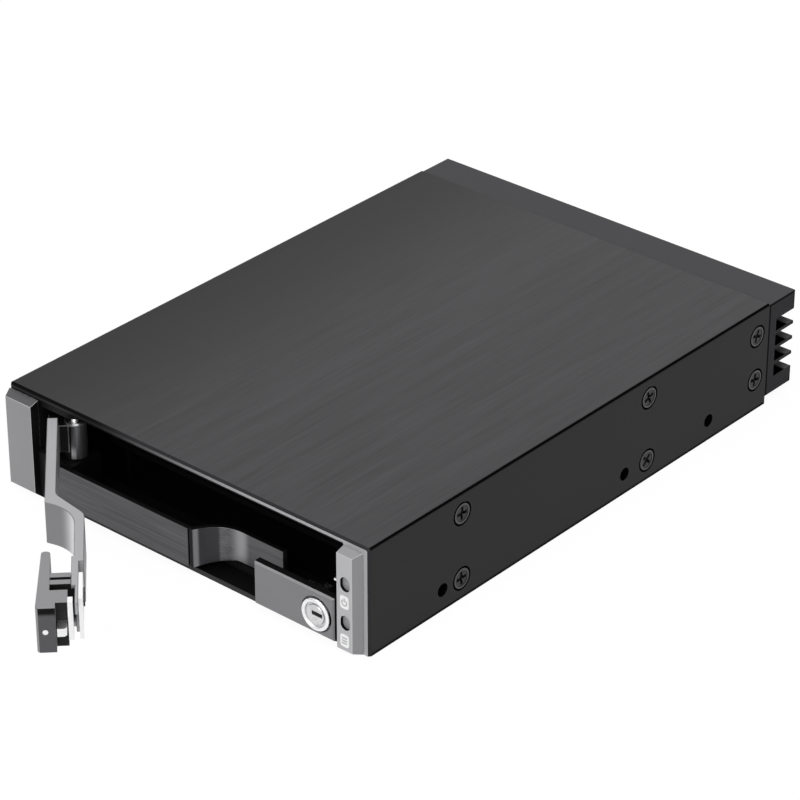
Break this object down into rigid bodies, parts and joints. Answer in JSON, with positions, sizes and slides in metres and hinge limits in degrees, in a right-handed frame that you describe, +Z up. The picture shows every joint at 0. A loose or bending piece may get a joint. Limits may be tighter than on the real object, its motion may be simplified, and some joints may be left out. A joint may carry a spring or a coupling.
{
  "type": "hot-swap drive cage",
  "caption": "Low metal cage for a computer bay that takes a small drive: brushed folded cover, side-hinged lever door with sliding latch, key lock and finned rear block.",
  "frame": {"origin": "centre of the folded body's underside, on the plane it rests on", "axes": "+X to the right seen from the front, +Y to the rear along the drive's way in, +Z up"},
  "size_m": [0.1016, 0.1987, 0.0254],
  "materials": {
    "black_anodised": "brushed front to back, black anodised",
    "black_sheet": "matte black",
    "black_moulding": "fine matte",
    "grey_paint": "satin grey paint",
    "brushed_sill": "brushed along its length, dark anodised",
    "chrome": "polished",
    "stainless": "bright",
    "black_screw": "black oxide",
    "dark_lens": "smoked clear",
    "board": "green solder mask",
    "connector": "matte"
  },
  "bodies": {
    "cage": {"cover": "black_anodised", "tray": "black_sheet", "drive_deck": "black_sheet", "front_frame": "black_moulding", "rear_housing": "black_moulding", "guide_rail_left": "black_moulding", "guide_rail_right": "black_moulding", "left_post": "grey_paint", "right_post": "grey_paint", "lock_panel": "grey_paint", "front_sill": "brushed_sill", "lock_barrel": "chrome", "hinge_pin": "stainless", "strike_plate": "stainless", "lock_nut": "stainless", "cover_screws_left": "black_screw", "cover_screws_right": "black_screw", "floor_screws": "black_screw", "rail_screws": "black_screw", "board_screws": "black_screw", "light_pipe_upper": "dark_lens", "light_pipe_lower": "dark_lens", "backplane_board": "board", "light_board": "board", "drive_connector": "connector", "data_port": "connector", "power_port": "connector"},
    "lever": {"door_lever": "grey_paint", "hinge_washer": "stainless"},
    "latch": {"latch_handle": "grey_paint", "latch_bolt": "stainless", "latch_pin": "stainless", "latch_face_plate": "stainless", "latch_plate": "stainless", "latch_screws": "black_screw"},
    "lock": {"lock_core": "chrome", "lock_cam": "stainless", "lock_screw": "black_screw"}
  },
  "joints": [
    {"name": "lever_swing", "type": "hinge", "parent": "cage", "child": "lever", "pos_m": [-0.0349, -0.06325, 0.015], "axis": [0, 0, -1], "range_deg": [-45, 45]},
    {"name": "latch_slide", "type": "slide", "parent": "lever", "child": "latch", "axis": [0.7071, -0.7071, 0], "range_m": [0, 0.0015]},
    {"name": "lock_turn", "type": "hinge", "parent": "cage", "child": "lock", "pos_m": [0.0387, -0.0645, 0.0063], "axis": [0, 1, 0], "range_deg": [0, 90]}
  ]
}
